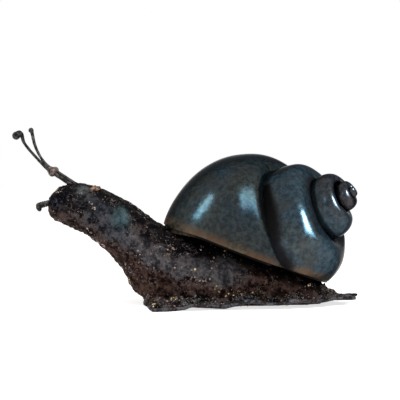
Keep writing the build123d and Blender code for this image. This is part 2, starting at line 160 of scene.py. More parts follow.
# Shell: its spiral, as in the CAD model, for the lines where the whorls meet
APEX = Vector((0.0763, -0.0156, 0.0894))
SPIRE_YAW = radians(28.2)
SPIRE_PITCH = radians(30.9)
GROWTH = 1.94
COIL_RADIUS = 0.0664
COIL_DROP = 0.1395
WHORL_HALF_WIDTH = 0.0390
WHORL_HALF_HEIGHT = 0.0569
SIDE_SQUEEZE = 0.86
MOUTH_AZIMUTH = radians(225.7)
SUTURE_ANGLE = radians(-112.5)
SPIRE_TURNS = 3.6
SECOND_TURN = -1.127
SUTURE_STEPS = 1200
UPPER_STEPS = 400

# Shell: the slanting plane of its rim
RIM_HEIGHT = 0.0368
RIM_SLOPE = radians(20.4)
RIM_FACING = Vector((sin(RIM_SLOPE), 0, cos(RIM_SLOPE)))
RIM_LINE = (0.0, RIM_HEIGHT, -tan(RIM_SLOPE))

# Shell: how the whorls swell, sit over one another and are drawn out at the front corner
SHOULDER_SWELL = 0.0042
SECOND_SWELL = 0.06
SECOND_SEAT = 0.0040
SECOND_BELLY = Vector((-0.0065, -0.0080, 0))
THIRD_SEAT = 0.0016
FRONT_CORNER = Vector((-0.0030, 0, -0.0022))
FLOOR_STRIP = 0.0015
CREASE_ANGLE = 40

# Shell: painted shade on the second whorl's near foot
PAINTED_SHADE_SIDE = -0.010
PAINTED_SHADE_TOP = 0.055
PAINTED_SHADE_START = 0.0070
PAINTED_SHADE_FOOT = 0.0085
PAINTED_SHADE_WIDE = 0.0190
PAINTED_SHADE_TAPER = 0.0125
PAINTED_SHADE_LEAST = 0.15

# How far from a suture a whorl is painted dark with shade, where it rises from the whorl below and where it
# meets the one above
SUTURE_SHADE_WIDTHS = {
    "body_whorl": (0.0016, 0.0016), "second_whorl": (0.0085, 0.0016), "third_whorl": (0.0030, 0.0010),
    "fourth_whorl": (0.0016, 0.0008), "apex_knob": (0.0010, 0.0006),
}
WHORL_TURNS = {
    "body_whorl": SECOND_TURN + 0.5, "second_whorl": SECOND_TURN, "third_whorl": SECOND_TURN - 1,
    "fourth_whorl": SECOND_TURN - 2, "apex_knob": SECOND_TURN - 3,
}

# Tip: first and last turn of the fourth whorl and the knob, and how far they are drawn in towards a pivot
TIP_TURNS = {
    "fourth_whorl": (SECOND_TURN - 1.95, -SPIRE_TURNS),
    "apex_knob": (-SPIRE_TURNS, -SPIRE_TURNS - 0.75),
}
TIP_DROPS = 16
TIP_PIVOT = Vector((0.0657, -0.0140, 0.0730))
TIP_SCALE = 0.86
TIP_PLUMP = 1.08
TIP_VOXEL = 0.0004

# Body colours: the blue-grey band along the flank, partly a painted lit band, and spots on neck and head
BAND_BEND = -0.0545
BAND_SLOPE = 0.60
BAND_HEIGHT = 0.0264
TEAL_SPOT = (-0.0938, -0.0190, 0.0640)
GREY_SPOT = (-0.1226, -0.0100, 0.0817)
NAVY_SPOT = (-0.1420, -0.0110, 0.0790)

# Lamps: place, aim, width, height, spin in degrees, power, tint and what is lit
SKY = (0.38, 0.74, 1.0)
PALE_SKY = (0.74, 0.92, 1.0)
WARM = (1.0, 0.90, 0.86)
SHELL_AIM = (0.03, -0.03, 0.06)
LAMPS = {
    "left_window": ((-0.78, -0.14, 0.80), (0, 0, 0.06), 0.11, 0.42, 0, 4.0, SKY, "dome"),
    "roof_window": ((0.50, -0.32, 0.98), (0.50, -0.32, 0), 1.24, 0.36, 17, 15, SKY, "dome"),
    "left_lamp": ((-0.78, -0.14, 0.80), (0, 0, 0.06), 0.10, 0.60, 0, 4.5, WARM, "rest"),
    "roof_lamp": ((0.30, -0.32, 0.98), (0.30, -0.32, 0), 0.82, 0.34, 17, 8.5, WARM, "rest"),
    "side_window": ((0.72, -0.62, 0.40), SHELL_AIM, 0.80, 0.44, 0, 24, SKY, "spire"),
    "side_pane": ((0.68, -0.62, 0.46), SHELL_AIM, 0.38, 0.30, 0, 30, PALE_SKY, "spire"),
    "front_pane": ((-0.45, -0.86, 0.34), SHELL_AIM, 0.12, 0.24, 0, 0.7, SKY, "spire"),
}

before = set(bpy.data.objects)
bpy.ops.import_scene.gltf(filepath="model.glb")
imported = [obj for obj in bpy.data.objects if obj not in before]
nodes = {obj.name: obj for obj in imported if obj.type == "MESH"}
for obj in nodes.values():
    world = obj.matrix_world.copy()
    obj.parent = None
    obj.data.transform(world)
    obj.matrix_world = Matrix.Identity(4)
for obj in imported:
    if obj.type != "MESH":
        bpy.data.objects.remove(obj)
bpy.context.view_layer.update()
dice = random.Random(7)


def share(value, low, high):
    """Runs smoothly from 0 at low to 1 at high."""
    t = min(max((value - low) / (high - low), 0), 1)
    return t * t * (3 - 2 * t)


def along(places, x):
    """A value at a place, run smoothly through (place, value) pairs."""
    for (low, first), (high, second) in zip(places, places[1:]):
        if x <= high:
            return first + (second - first) * share(x, low, high)
    return places[-1][1]


def over_line(place, line):
    """Height of a place over a slanting line. The place may be one to paint by."""
    line_x, line_z, slope = line
    return place.z - (line_z + (place.x - line_x) * slope)


def over_rim(place):
    """Height of a place over the slanting plane of the shell's rim. The place may be one to paint by."""
    return place.x * sin(RIM_SLOPE) + (place.z - RIM_HEIGHT) * cos(RIM_SLOPE)


def only(piece):
    """Makes a piece the one selected and active object."""
    bpy.ops.object.select_all(action="DESELECT")
    piece.select_set(True)
    bpy.context.view_layer.objects.active = piece


def new_piece(name, points, faces):
    mesh = bpy.data.meshes.new(name)
    mesh.from_pydata(points, [], faces)
    piece = bpy.data.objects.new(name, mesh)
    bpy.context.collection.objects.link(piece)
    return piece


def copy_piece(piece, name):
    copy = bpy.data.objects.new(name, piece.data.copy())
    bpy.context.collection.objects.link(copy)
    return copy


def modify(piece, kind, **settings):
    """Adds a modifier with its settings and applies it."""
    only(piece)
    modifier = piece.modifiers.new(kind, kind)
    for setting, value in settings.items():
        setattr(modifier, setting, value)
    bpy.ops.object.modifier_apply(modifier=modifier.name)


def edit(piece, operator, **settings):
    """Runs a mesh operator on the whole of a piece."""
    only(piece)
    bpy.ops.object.mode_set(mode="EDIT")
    bpy.ops.mesh.select_all(action="SELECT")
    operator(**settings)
    bpy.ops.object.mode_set(mode="OBJECT")


def copy_node(node, name):
    """A copy of a CAD node, its loose triangles merged."""
    piece = copy_piece(nodes[node], name)
    piece.data.materials.clear()
    edit(piece, bpy.ops.mesh.customdata_custom_splitnormals_clear)
    edit(piece, bpy.ops.mesh.remove_doubles, threshold=0.000002)
    return piece


def cut(piece, place, facing):
    """Cuts a piece by a plane, keeps the side the plane faces and closes the cut."""
    edit(piece, bpy.ops.mesh.bisect, plane_co=place, plane_no=facing, use_fill=True, clear_inner=True)


def melt(piece, voxel, rounds):
    """Runs the parts of a piece into one closed skin and smooths it."""
    modify(piece, "REMESH", mode="VOXEL", voxel_size=voxel)
    modify(piece, "SMOOTH", factor=0.5, iterations=rounds)


def smooth(piece, angle=180):
    only(piece)
    bpy.ops.object.shade_smooth_by_angle(angle=radians(angle))


def rest_flat(piece):
    """Presses flat on the floor what the roughening pushed under it."""
    for vertex in piece.data.vertices:
        vertex.co.z = max(vertex.co.z, 0.0)


def roughen(piece, texture, strength, group=""):
    modify(
        piece, "DISPLACE", texture=texture, texture_coords="LOCAL", strength=strength,
        mid_level=0.5, vertex_group=group,
    )


def cloud(name, size, depth=2):
    texture = bpy.data.textures.new(name, "CLOUDS")
    texture.noise_scale = size
    texture.noise_depth = depth
    return texture


def pebble(name, size):
    texture = bpy.data.textures.new(name, "VORONOI")
    texture.noise_scale = size
    texture.distance_metric = "DISTANCE"
    return texture


DENTS = cloud("dents", 0.016)
CHUNKS = cloud("chunks", 0.0062, 1)
LUMPS = pebble("lumps", 0.0042)
GRIT = cloud("grit", 0.0024, 3)
ROD_DENTS = cloud("rod_dents", 0.004)


def ring(station, fullness):
    """Points round a body section, four quarter curves of the given fullness."""
    top_x, top_z, bottom_x, bottom_z, wide = station
    middle = Vector(((top_x + bottom_x) / 2, 0, (top_z + bottom_z) / 2))
    up = Vector(((top_x - bottom_x) / 2, 0, (top_z - bottom_z) / 2))
    side = Vector((0, wide, 0))
    corners = [side, up, -side, -up, side]
    points = []
    for start, end in zip(corners, corners[1:]):
        leave = start + fullness * end
        arrive = end + fullness * start
        for step in range(QUARTER_POINTS):
            t = step / QUARTER_POINTS
            points.append(
                middle + start * (1 - t) ** 3 + leave * 3 * t * (1 - t) ** 2
                + arrive * 3 * t**2 * (1 - t) + end * t**3
            )
    return points


def roughness_at(place):
    """How lumpy the body is: most at head, throat and foot, less on the back, least along the flank."""
    foot = 1 - share(place.z, 0.012, 0.024)
    head_end = 1 - share(place.x, -0.132, -0.112)
    throat = 1 - share(over_line(place, THROAT_LINE), 0.002, 0.016) if place.x < THROAT_END else 0
    back = share(over_line(place, BACK_LINE), -0.012, 0.004) if place.x < BACK_END else 0
    return 0.30 + 0.70 * max(foot, head_end, throat, 0.7 * back)


def body_skin():
    """The whole body: rings from mouth to tail, rounded off and roughened like weld metal."""
    rings = [ring(station, NECK_FULLNESS) for station in HEAD_RINGS + NECK_RINGS]
    rings += [ring(station, TRUNK_FULLNESS) for station in TRUNK_RINGS]
    around = len(rings[0])
    points = [point for row in rings for point in row]
    last_row = len(points) - around
    faces = [
        (row + spot, row + (spot + 1) % around, row + around + (spot + 1) % around, row + around + spot)
        for row in range(0, last_row, around) for spot in range(around)
    ]
    faces.append(tuple(reversed(range(around))))
    faces.append(tuple(range(last_row, len(points))))
    skin = new_piece("body", points, faces)
    edit(skin, bpy.ops.mesh.normals_make_consistent, inside=False)
    modify(skin, "SUBSURF", levels=2, render_levels=2)
    melt(skin, BODY_VOXEL, 6)
    lumpy = skin.vertex_groups.new(name="lumpy")
    pebbly = skin.vertex_groups.new(name="pebbly")
    for vertex in skin.data.vertices:
        rough = roughness_at(vertex.co)
        patch = share(noise.noise(vertex.co * 75), -0.25, 0.35)
        lumpy.add([vertex.index], rough, "REPLACE")
        pebbly.add([vertex.index], rough * patch, "REPLACE")
    roughen(skin, DENTS, 0.0016)
    roughen(skin, CHUNKS, 0.0030, "lumpy")
    roughen(skin, LUMPS, -0.0017, "pebbly")
    roughen(skin, GRIT, 0.0015, "lumpy")
    cut(skin, (0, 0, FOOT_CUT), UP)
    return skin


def joint_plane(station):
    """Place and direction, towards the tail, of the joint at a body ring."""
    top_x, top_z, bottom_x, bottom_z, _ = station
    place = Vector((bottom_x, 0, bottom_z))
    rise = Vector((top_x - bottom_x, 0, top_z - bottom_z))
    return place, Vector((rise.z, 0, -rise.x)).normalized()


# Body: the skin cut into head, neck and trunk at its joints
body = body_skin()
head_place, head_facing = joint_plane(NECK_RINGS[0])
neck_place, neck_facing = joint_plane(NECK_RINGS[-1])
head = copy_piece(body, "head")
cut(head, head_place, -head_facing)
neck = copy_piece(body, "neck")
cut(neck, head_place, head_facing)
cut(neck, neck_place, -neck_facing)
trunk = copy_piece(body, "trunk")
cut(trunk, neck_place, neck_facing)
bpy.data.objects.remove(body)
for piece in (head, neck, trunk):
    smooth(piece)


def sole_lift(x, across):
    """How far the sole is lifted off the floor, at a place along it and from -1 to 1 across it."""
    edge = abs(across)
    ripple = along(SOLE_LIFT, x if across < 0 else x + FAR_EDGE_SHIFT) * edge**1.2
    crown = TAIL_CROWN * share(x, 0.020, 0.062) * (1 - edge)
    curl = EDGE_CURL * share(edge, 0.86, 1.0) * share(x, -0.055, -0.030)
    return ripple + (crown + curl) + FAR_PRONG_LIFT * share(x, 0.066, 0.077) * share(across, 0.0, 0.4)


def sole_sheet():
    """Hammered sheet, its edges rippled and lifted, its tail forked."""
    bpy.ops.object.select_all(action="DESELECT")
    bpy.ops.mesh.primitive_grid_add(x_subdivisions=170, y_subdivisions=70, size=2)
    sheet = bpy.context.object
    sheet.name = "sole"
    for vertex in sheet.data.vertices:
        across = vertex.co.y
        front = SOLE_FRONT + SOLE_FRONT_BOW * across**2
        prong = NEAR_PRONG if across < 0 else FAR_PRONG
        tail = SOLE_NOTCH + prong * share(abs(across), 0.05, PRONG_MIDDLE)
        tail -= PRONG_SLANT * share(abs(across), PRONG_MIDDLE, 1.0)
        x = front + (tail - front) * (vertex.co.x + 1) / 2
        vertex.co = (x, across * along(SOLE_SIDE, x), sole_lift(x, across))
    modify(sheet, "SOLIDIFY", thickness=SOLE_SHEET, offset=1.0)
    melt(sheet, SOLE_VOXEL, 3)
    roughen(sheet, DENTS, 0.0010)
    roughen(sheet, GRIT, 0.0004)
    rest_flat(sheet)
    smooth(sheet)
    return sheet


sole = sole_sheet()


def ball(subdivisions):
    """Points and faces of a round drop of radius 1."""
    bpy.ops.object.select_all(action="DESELECT")
    bpy.ops.mesh.primitive_ico_sphere_add(subdivisions=subdivisions, radius=1)
    piece = bpy.context.object
    points = [vertex.co.copy() for vertex in piece.data.vertices]
    faces = [tuple(face.vertices) for face in piece.data.polygons]
    bpy.data.objects.remove(piece)
    return points, faces


# Drops: melted metal, the start of beads, welds and spatter
DROP = ball(2)
FLECK = ball(1)


def drops(name, places, shape, ragged=0.0):
    """Many drops in one piece, each a place, a size, its up direction and its height over and under it."""
    points, faces = shape
    all_points = []
    all_faces = []
    for place, size, up, over, under in places:
        first = len(all_points)
        for point in points:
            point = point * dice.uniform(1 - ragged, 1 + ragged)
            rise = point.dot(up)
            squashed = point - up * rise
            all_points.append(place + squashed * size + up * rise * (over if rise > 0 else under))
        all_faces += [tuple(first + corner for corner in face) for face in faces]
    return new_piece(name, all_points, all_faces)


def rod(name, knots):
    """A bent rod along a smooth curve, each knot x, y, z and the radius there."""
    curve = bpy.data.curves.new(name, "CURVE")
    curve.dimensions = "3D"
    curve.bevel_depth = 1.0
    curve.bevel_resolution = 4
    curve.use_fill_caps = True
    spline = curve.splines.new("NURBS")
    spline.points.add(len(knots) - 1)
    for point, (x, y, z, radius) in zip(spline.points, knots):
        point.co = (x, y, z, 1)
        point.radius = radius
    spline.order_u = 3
    spline.use_endpoint_u = True
    piece = bpy.data.objects.new(name, curve)
    bpy.context.collection.objects.link(piece)
    only(piece)
    bpy.ops.object.convert(target="MESH")
    melt(piece, ROD_VOXEL, 2)
    roughen(piece, ROD_DENTS, 0.0004)
    smooth(piece)
    return piece


def bead(name, knots, dents):
    """Drops, each x, y, z and a radius, melted into one bead."""
    piece = drops(name, [(Vector(place), size, UP, size, size) for *place, size in knots], DROP)
    melt(piece, ROD_VOXEL, 5)
    roughen(piece, ROD_DENTS, dents)
    smooth(piece)
    return piece


# Eye stalks: two rods side by side up to the weld lump, then bending apart, a bead on each
rod_pieces = {
    "left_stalk": rod("left_stalk_rod", LEFT_STALK),
    "right_stalk": rod("right_stalk_rod", RIGHT_STALK),
    "left_eye": bead("left_eye_bead", LEFT_EYE, 0.0005),
    "right_eye": bead("right_eye_bead", RIGHT_EYE, 0.0005),
}
lump = bead("stalk_lump", STALK_LUMP, 0.0011)

# Feelers: thick ribbed rods at the mouth, the melted end of the left one hanging down
for hand, side, droop in (("left", -1, LEFT_DROOP), ("right", 1, RIGHT_DROOP)):
    mirror = Vector((1, side, 1))
    root = Vector(FEELER_ROOT) * mirror
    end = Vector(FEELER_END) * mirror
    knots = [
        (*root.lerp(end, step / (FEELER_KNOTS - 1)), RIB_RADII[step % len(RIB_RADII)])
        for step in range(FEELER_KNOTS)
    ]
    melted = [(*(end + Vector((x, 0, z)) * droop), size) for x, z, size in FEELER_DROPS]
    rod_pieces[hand + "_feeler"] = rod(hand + "_feeler_rod", knots)
    rod_pieces[hand + "_feeler_tip"] = bead(hand + "_feeler_tip_bead", melted, 0.0002)


def sole_top(x, y):
    """Height of the sole's upper face at a place, or None beyond its edge."""
    hit, place, _, _ = sole.ray_cast((x, y, 0.05), (0, 0, -1))
    return place.z if hit else None


def foot_side(x, side, z):
    """Where the trunk's flank is at a height, from its left (-1) or right (1) side, or None beside it."""
    hit, place, _, _ = trunk.ray_cast((x, side * 0.1, z), (0, -side, 0))
    return place.y if hit else None


def edge_side(x, side):
    """How far the sole reaches to a side at a place along it."""
    step = 0.0005
    reach = 0
    while sole_top(x, side * (reach + step)) is not None:
        reach += step
    return side * reach


def weld_drop(places, x, y, size, high):
    """Adds a drop of weld metal on the sole, and in its front half also just beyond its edge."""
    x += dice.uniform(-WELD_JITTER, WELD_JITTER)
    y += dice.uniform(-WELD_JITTER, WELD_JITTER)
    top = sole_top(x, y)
    size *= dice.uniform(0.75, 1.25)
    if top is not None or x < 0:
        places.append((Vector((x, y, top or 0.0015)), size, UP, high * dice.uniform(0.75, 1.2), 0.0012))


def foot_weld():
    """The weld run round the trunk's foot: along both sides, across the front and in a wedge at the tail."""
    places = []
    for side in (-1, 1):
        x = WELD_START
        while x < WELD_END:
            foot = foot_side(x, side, 0.007) or 0.0
            edge = edge_side(x, side)
            tall = WELD_TALL - WELD_FALL * share(x, -0.070, 0.030)
            for out, size, high in WELD_ROWS:
                weld_drop(places, x, foot + (edge - foot) * out, size, tall * high)
            x += WELD_STEP
    for step in range(33):
        across = -1 + step / 16
        for middle, bow, wide, size, high, fall in FRONT_ROWS:
            weld_drop(places, middle + bow * across**2, wide * across, size, high - fall * abs(across))
    for step in range(WEDGE_STEPS):
        x = WEDGE_START + step * 0.001
        tall = 0.0098 * (1 - share(x, 0.0490, 0.0575)) + 0.0026 * (1 - share(x, 0.057, 0.070)) + 0.0003
        for y in WEDGE_ROWS:
            weld_drop(places, x, y * (1 - step / 45), 0.0030 - step * 0.00007, tall * (1 - 60 * abs(y)))
    run = drops("foot_weld", places, DROP)
    melt(run, WELD_VOXEL, 2)
    roughen(run, LUMPS, -0.0012)
    roughen(run, GRIT, 0.0014)
    rest_flat(run)
    smooth(run)
    return run


def nape_weld():
    """The weld run across the nape, where the stalks were tacked on."""
    knots = []
    for step in range(NAPE_DROPS):
        x = NAPE_START[0] + step * NAPE_STEP[0]
        y = NAPE_START[1] + step * NAPE_STEP[1] + dice.uniform(-0.0012, 0.0012)
        _, top, _, _ = neck.ray_cast((x, y, 0.12), (0, 0, -1))
        knots.append((*top, dice.uniform(0.0012, 0.0021)))
    run = bead("nape_weld", knots, 0.0016)
    roughen(run, GRIT, 0.0016)
    return run


bpy.context.view_layer.update()
weld = foot_weld()
nape = nape_weld()

# Shell: the CAD whorls and a coiled tip, with the distance to the nearest suture kept on them
axis = Vector((cos(SPIRE_YAW) * cos(SPIRE_PITCH), -sin(SPIRE_YAW) * cos(SPIRE_PITCH), sin(SPIRE_PITCH)))
spire_up = (UP - axis * axis.z).normalized()
spire_left = axis.cross(spire_up)
second_middle = APEX - axis * COIL_DROP * GROWTH ** (SECOND_TURN - 0.5)
shell_middle = APEX - axis * COIL_DROP * 0.75


def spiral(turn):
    """Scale of the spiral at a turn, its squeeze there, and its direction out from the axis."""
    azimuth = MOUTH_AZIMUTH + radians(360) * turn
    squeeze = 1 / sqrt(cos(azimuth) ** 2 + (sin(azimuth) / SIDE_SQUEEZE) ** 2)
    return GROWTH**turn, squeeze, spire_up * cos(azimuth) + spire_left * sin(azimuth)


def suture_place(turn):
    """Place on the line where a whorl meets the one above it, at a turn of the spiral."""
    scale, squeeze, radial = spiral(turn)
    out = squeeze * scale * (COIL_RADIUS + WHORL_HALF_WIDTH * cos(SUTURE_ANGLE))
    down = scale * (COIL_DROP + WHORL_HALF_HEIGHT * sin(SUTURE_ANGLE))
    return APEX - axis * down + radial * out


def suture_tree(turns):
    """The suture's places at some turns, to find the nearest one."""
    tree = KDTree(len(turns))
    for index, turn in enumerate(turns):
        tree.insert(suture_place(turn), index)
    tree.balance()
    return tree


suture_turns = [-SPIRE_TURNS + index * (SPIRE_TURNS + 0.2) / SUTURE_STEPS for index in range(SUTURE_STEPS)]
sutures = suture_tree(suture_turns)
upper_sutures = suture_tree([SECOND_TURN - 1 + index / UPPER_STEPS for index in range(UPPER_STEPS)])


def suture_of(place):
    """Distance to the nearest place on the suture, and that place's turn of the spiral."""
    _, index, off = sutures.find(place)
    return off, suture_turns[index]


def front_corner(place):
    """How far the front corner of the shell is drawn out, forward and down."""
    return FRONT_CORNER * share(-place.x, 0.034, 0.062) * (1 - share(over_rim(place), 0.0, 0.040))


def off_seam(place):
    """1 on most of a whorl, 0 at the seam under the shell where one whorl ends and the next begins."""
    off = place - APEX
    return share(Vector((off.dot(spire_up), off.dot(spire_left), 0)).normalized().x, -0.98, -0.55)


def coil_drop(turn):
    """A drop as big as the whorl's section at a turn of the spiral, drawn in towards the tip's pivot."""
    scale, squeeze, radial = spiral(turn)
    place = APEX - axis * scale * COIL_DROP + radial * scale * squeeze * COIL_RADIUS
    wide = WHORL_HALF_WIDTH * scale * TIP_SCALE * TIP_PLUMP
    high = WHORL_HALF_HEIGHT * scale * TIP_SCALE
    return TIP_PIVOT + (place - TIP_PIVOT) * TIP_SCALE, wide, axis, high, high


def tip_coil(node, name):
    """A part of the tip: drops along the spiral, run together."""
    first, last = TIP_TURNS[node]
    coil = [coil_drop(first + (last - first) * step / (TIP_DROPS - 1)) for step in range(TIP_DROPS)]
    piece = drops(name, coil, DROP)
    melt(piece, TIP_VOXEL, 12)
    return piece


def mark_suture_shade(piece, node):
    """Keeps on each vertex how far it is out of the painted shade of a suture, from 0 to 1."""
    below, above = SUTURE_SHADE_WIDTHS[node]
    suture_shade = piece.data.attributes.new("suture_shade", "FLOAT", "POINT")
    for vertex in piece.data.vertices:
        off, turn = suture_of(vertex.co)
        wide = below if turn > WHORL_TURNS[node] - 0.5 else above
        suture_shade.data[vertex.index].value = min(off / wide, 1.0)


def swell_body_whorl(piece):
    """Fuller shoulder along the suture, and the front corner drawn out."""
    for vertex in piece.data.vertices:
        swell = SHOULDER_SWELL * (1 - share(suture_of(vertex.co)[0], 0.007, 0.034))
        vertex.co += (vertex.co - shell_middle).normalized() * swell * off_seam(vertex.co)
        vertex.co += front_corner(vertex.co)


def seat_second_whorl(piece):
    """Swells the second whorl, seats it over the body whorl's shoulder and pushes out its near foot."""
    for vertex in piece.data.vertices:
        upper = share(upper_sutures.find(vertex.co)[2], 0.0, 0.007)
        clear = off_seam(vertex.co)
        seated = 1 - share(suture_of(vertex.co)[0], 0.006, 0.022)
        outward = (vertex.co - second_middle) * SECOND_SWELL * upper * clear
        vertex.co += outward * (1 + seated) - axis * SECOND_SEAT * seated * upper * clear
        belly = (1 - share(over_rim(vertex.co), 0.0, 0.038)) * (1 - share(vertex.co.x, 0.016, 0.050))
        vertex.co += SECOND_BELLY * belly * (1 - share(vertex.co.y, -0.020, 0.004))
    cut(piece, (0, 0, RIM_HEIGHT), RIM_FACING)
    shade_second_whorl_foot(piece)


def shade_second_whorl_foot(piece):
    """Paints shade onto the near foot of the second whorl beside the suture, widest at the rim."""
    suture_shade = piece.data.attributes["suture_shade"]
    for vertex in piece.data.vertices:
        high = over_rim(vertex.co)
        if vertex.co.y < PAINTED_SHADE_SIDE and high < PAINTED_SHADE_TOP:
            past = vertex.co.x - PAINTED_SHADE_START - PAINTED_SHADE_FOOT * (1 - share(high, 0.002, 0.018))
            wide = PAINTED_SHADE_WIDE - PAINTED_SHADE_TAPER * share(high, 0.020, PAINTED_SHADE_TOP)
            # Painted shade: lowers the suture values so that the near foot renders dark
            foot_shade = PAINTED_SHADE_LEAST + (1 - PAINTED_SHADE_LEAST) * share(past, wide * 0.30, wide)
            mark = suture_shade.data[vertex.index]
            mark.value = min(mark.value, foot_shade)


def seat_third_whorl(piece):
    """Lets the third whorl's lower edge down over the second whorl."""
    for vertex in piece.data.vertices:
        off, turn = suture_of(vertex.co)
        if turn > WHORL_TURNS["third_whorl"] - 0.5:
            vertex.co -= axis * THIRD_SEAT * (1 - share(off, 0.002, 0.008)) * off_seam(vertex.co)


SHAPED = {"body_whorl": swell_body_whorl, "second_whorl": seat_second_whorl, "third_whorl": seat_third_whorl}
shell_pieces = {}
for node in SUTURE_SHADE_WIDTHS:
    piece = (tip_coil if node in TIP_TURNS else copy_node)(node, node + "_shell")
    mark_suture_shade(piece, node)
    if node in SHAPED:
        SHAPED[node](piece)
    smooth(piece, CREASE_ANGLE)
    shell_pieces[node] = piece


def lower_floor():
    """The CAD floor plate, let down at the front so that its edge shows under the corner of the rim."""
    plate = copy_node("shell_floor", "floor_plate")
    lowest = min(over_rim(vertex.co) for vertex in plate.data.vertices)
    for vertex in plate.data.vertices:
        drawn = front_corner(vertex.co)
        if over_rim(vertex.co) < lowest + 0.0003:
            drawn -= RIM_FACING * FLOOR_STRIP * (1 - share(vertex.co.x, -0.056, -0.042))
        vertex.co += drawn
    smooth(plate, CREASE_ANGLE)
    return plate


floor_plate = lower_floor()


def spatter(piece, clusters, chance, small, large):
    """Drops on a piece in loose clusters, more clusters where the chance is higher."""
    faces = piece.data.polygons
    centres = KDTree(len(faces))
    for face in faces:
        centres.insert(face.center, face.index)
    centres.balance()
    places = []
    while clusters > 0:
        middle = faces[dice.randrange(len(faces))].center
        if dice.random() < chance(middle):
            clusters -= 1
            near = centres.find_range(middle, dice.uniform(0.0012, 0.0050))
            for _ in range(dice.randrange(2, 9)):
                face = faces[near[dice.randrange(len(near))][1]]
                size = small + (large - small) * dice.random() ** 2
                places.append((face.center.copy(), size, face.normal.copy(), size * 0.8, size * 0.5))
    return places


def gold_chance(place):
    foot = 1 - share(place.z, 0.009, 0.016)
    clump = share(place.x, -0.017, -0.012) * (1 - share(place.x, 0.008, 0.016))
    return 0.02 + 0.25 * foot + 0.7 * foot * clump


def pale_chance(place):
    return roughness_at(place) - 0.25


def flank_chance(place):
    return share(place.x, -0.085, -0.070) * (1 - share(place.x, -0.030, 0.0)) * 0.5 + 0.1


def flecks(name, sources):
    """Spatter in one piece, each source a piece, its clusters, its chance, and the least and largest size."""
    places = [place for source in sources for place in spatter(*source)]
    piece = drops(name, places, FLECK, 0.35)
    rest_flat(piece)
    smooth(piece)
    return piece


# Spatter: small drops of weld metal stuck to the body
gold_flecks = flecks("gold_spatter", [
    (weld, 34, gold_chance, 0.0004, 0.0012),
    (trunk, 26, gold_chance, 0.0003, 0.0011),
    (neck, 5, pale_chance, 0.0003, 0.0006),
])
pale_flecks = flecks("steel_spatter", [
    (weld, 60, pale_chance, 0.0003, 0.0008),
    (trunk, 36, flank_chance, 0.0003, 0.0009),
    (neck, 40, pale_chance, 0.0003, 0.0009),
    (head, 16, pale_chance, 0.0003, 0.0007),
])


class Paint:
    """A socket of a material's nodes. Arithmetic on it adds Math nodes."""

    def __init__(self, tree, socket=None):
        self.tree = tree
        self.socket = socket

    def node(self, kind, settings=None, inputs=None, output=0):
        """Adds a node: its settings first, then the values or links of its sockets."""
        node = self.tree.nodes.new("ShaderNode" + kind)
        for name, value in (settings or {}).items():
            setattr(node, name, value)
        for name, value in (inputs or {}).items():
            if isinstance(value, Paint):
                self.tree.links.new(value.socket, node.inputs[name])
            else:
                node.inputs[name].default_value = value
        return Paint(self.tree, node.outputs[output])

    def math(self, operation, first, second):
        return self.node("Math", {"operation": operation}, {0: first, 1: second})

    def __add__(self, other):
        return self.math("ADD", self, other)

    __radd__ = __add__

    def __sub__(self, other):
        return self.math("SUBTRACT", self, other)

    def __rsub__(self, other):
        return self.math("SUBTRACT", other, self)

    def __mul__(self, other):
        return self.math("MULTIPLY", self, other)

    __rmul__ = __mul__

    @property
    def x(self):
        return self.node("SeparateXYZ", {}, {0: self}, "X")

    @property
    def z(self):
        return self.node("SeparateXYZ", {}, {0: self}, "Z")

    def step(self, low, high):
        """Runs smoothly from 0 at low to 1 at high."""
        values = {"Value": self, "From Min": low, "From Max": high}
        return self.node("MapRange", {"interpolation_type": "SMOOTHSTEP"}, values)

    def noise(self, scale, detail=3.0, roughness=0.6):
        values = {"Vector": self, "Scale": scale, "Detail": detail, "Roughness": roughness}
        return self.node("TexNoise", {}, values)

    def mix(self, first, second):
        """A colour from the first to the second, by this share."""
        return self.node("Mix", {"data_type": "RGBA"}, {0: self, 6: first, 7: second}, 2)


def colour(red, green, blue):
    return (red, green, blue, 1.0)


def new_finish(name):
    """A material with its shader, and Object coordinates to paint by."""
    material = bpy.data.materials.new(name)
    material.use_nodes = True
    place = Paint(material.node_tree).node("TexCoord", output="Object")
    return material, material.node_tree.nodes["Principled BSDF"], place


def feed(shader, **sockets):
    """Links or sets sockets of a shader, their names with underscores for spaces."""
    for name, value in sockets.items():
        socket = shader.inputs[name.replace("_", " ")]
        if isinstance(value, Paint):
            shader.id_data.links.new(value.socket, socket)
        else:
            socket.default_value = value


def bump(height, strength, distance):
    return height.node("Bump", {}, {"Height": height, "Strength": strength, "Distance": distance})


def near_spot(place, spot, radius, tall=1.0):
    """Fades from 1 at a spot to 0 at a radius from it, stretched so many times up and down."""
    off = place.node("VectorMath", {"operation": "SUBTRACT"}, {0: place, 1: spot})
    off = off.node("VectorMath", {"operation": "MULTIPLY"}, {0: off, 1: (1, 1, 1 / tall)})
    return 1 - off.node("VectorMath", {"operation": "LENGTH"}, {0: off}, "Value").step(0, radius)


def near_line(value, half):
    """1 on a line, where the value is 0, and 0 beyond a half width."""
    return 1 - value.node("Math", {"operation": "ABSOLUTE"}, {0: value}).step(half * 0.25, half)


def larger(first, second):
    return first.math("MAXIMUM", first, second)


def steel_finish(name):
    """Dark waxed steel: a material with its shader, and noises from broad to fine to paint by."""
    material, shader, place = new_finish(name)
    broad = place.noise(60, 3)
    fine = place.noise(430, 4, 0.72)
    grain = (fine - 0.5) * 1.1 + (place.noise(165, 3, 0.6) - 0.5) * 1.3 + 0.5
    return material, shader, place, broad, fine, grain


def finish_steel(shader, fine, base, specks, tint, rough):
    """Specks over the base colour, and the shader's other values."""
    feed(
        shader, Base_Color=specks.mix(base, tint), Roughness=rough - fine * 0.25,
        Normal=bump(fine + specks * 0.5, 0.7, 0.0009), Metallic=0.35, Specular_IOR_Level=0.04,
        Specular_Tint=colour(0.4, 0.4, 0.4),
    )


